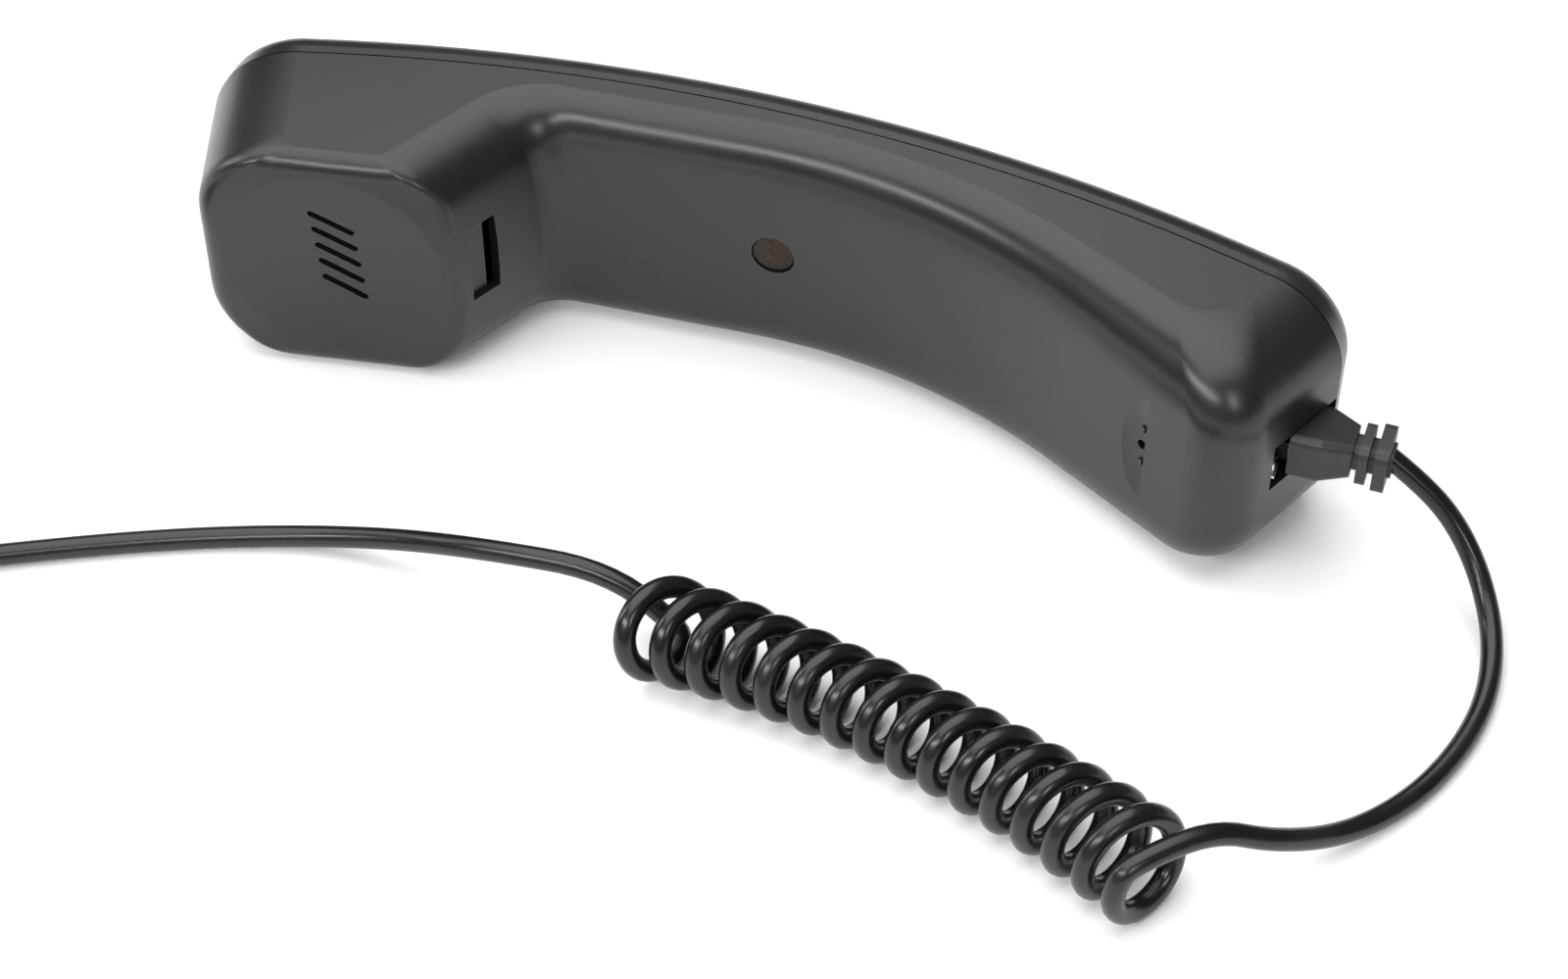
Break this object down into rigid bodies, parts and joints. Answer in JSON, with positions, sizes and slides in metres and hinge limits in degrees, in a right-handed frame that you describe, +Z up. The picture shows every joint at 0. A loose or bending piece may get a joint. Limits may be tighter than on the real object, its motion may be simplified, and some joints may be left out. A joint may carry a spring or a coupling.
{
  "type": "usb telephone handset",
  "caption": "Corded telephone handset with a slotted ear block, curved grip and microphone end, plugged in at its foot by a curly cord that ends in a USB plug",
  "frame": {"origin": "centre of the handset's box on the surface it lies on, cord and plugs left out", "axes": "+X along the handset from its ear end to its plug end, +Y from the ear and mouth side to the back cover, +Z up from the flat side it lies on"},
  "size_m": [0.3618, 0.1762, 0.05],
  "materials": {
    "shell_plastic": "fine satin texture, charcoal black",
    "cord_jacket": "smooth, softly glossy black",
    "plug_plastic": "dull black moulding",
    "steel": "drawn, bright",
    "screw_steel": "zinc plated",
    "foam": "open-cell brown-grey foam",
    "cloth": "woven acoustic cloth",
    "magnet": "sintered ferrite",
    "film": "thin clear amber film",
    "copper": "enamelled copper wire",
    "board": "green solder mask",
    "chip": "moulded black epoxy",
    "contact": "gold plated",
    "socket_tongue": "black insulator",
    "white_insert": "white insulator",
    "wire_red": "red wire insulation",
    "wire_black": "black wire insulation",
    "soft_rubber": "soft black rubber",
    "basket_plastic": "dark grey moulding"
  },
  "bodies": {
    "handset": {"front_shell": "shell_plastic", "back_cover": "shell_plastic", "closing_screw": "screw_steel", "screw_cover_disc": "foam", "receiver_gasket": "soft_rubber", "ear_cloth": "cloth", "receiver_basket": "basket_plastic", "receiver_yoke": "steel", "receiver_magnet": "magnet", "receiver_top_plate": "steel", "receiver_clamp": "steel", "receiver_clamp_screws": "screw_steel", "receiver_terminals": "contact", "microphone_boot": "soft_rubber", "microphone_capsule": "steel", "circuit_board": "board", "board_screws": "screw_steel", "audio_chip": "chip", "crystal_can": "steel", "board_capacitors": "chip", "usb_socket_shell": "steel", "usb_socket_tongue": "socket_tongue", "ballast_weight": "magnet", "ballast_screws": "screw_steel", "receiver_wire_red": "wire_red", "receiver_wire_black": "wire_black", "microphone_wire_red": "wire_red", "microphone_wire_black": "wire_black"},
    "diaphragm": {"receiver_voice_coil": "copper", "receiver_diaphragm": "film"},
    "cord": {"mini_plug_shell": "steel", "mini_plug_insert": "white_insert", "mini_plug_overmould": "plug_plastic", "handset_cord": "cord_jacket", "curled_cord": "cord_jacket", "host_cord": "cord_jacket", "stored_coil": "cord_jacket", "coil_tie": "plug_plastic", "tail_cord": "cord_jacket", "host_plug_overmould": "plug_plastic", "host_plug_shell": "steel", "host_plug_insert": "white_insert", "host_plug_contacts": "contact"}
  },
  "joints": [
    {"name": "plug_pull", "type": "slide", "parent": "handset", "child": "cord", "axis": [1, 0, 0], "range_m": [0, 0.0065]},
    {"name": "diaphragm_travel", "type": "slide", "parent": "handset", "child": "diaphragm", "axis": [-0.1736, 0.9848, 0], "range_m": [-0.0002, 0.0002], "stiffness_N_per_m": 100}
  ]
}
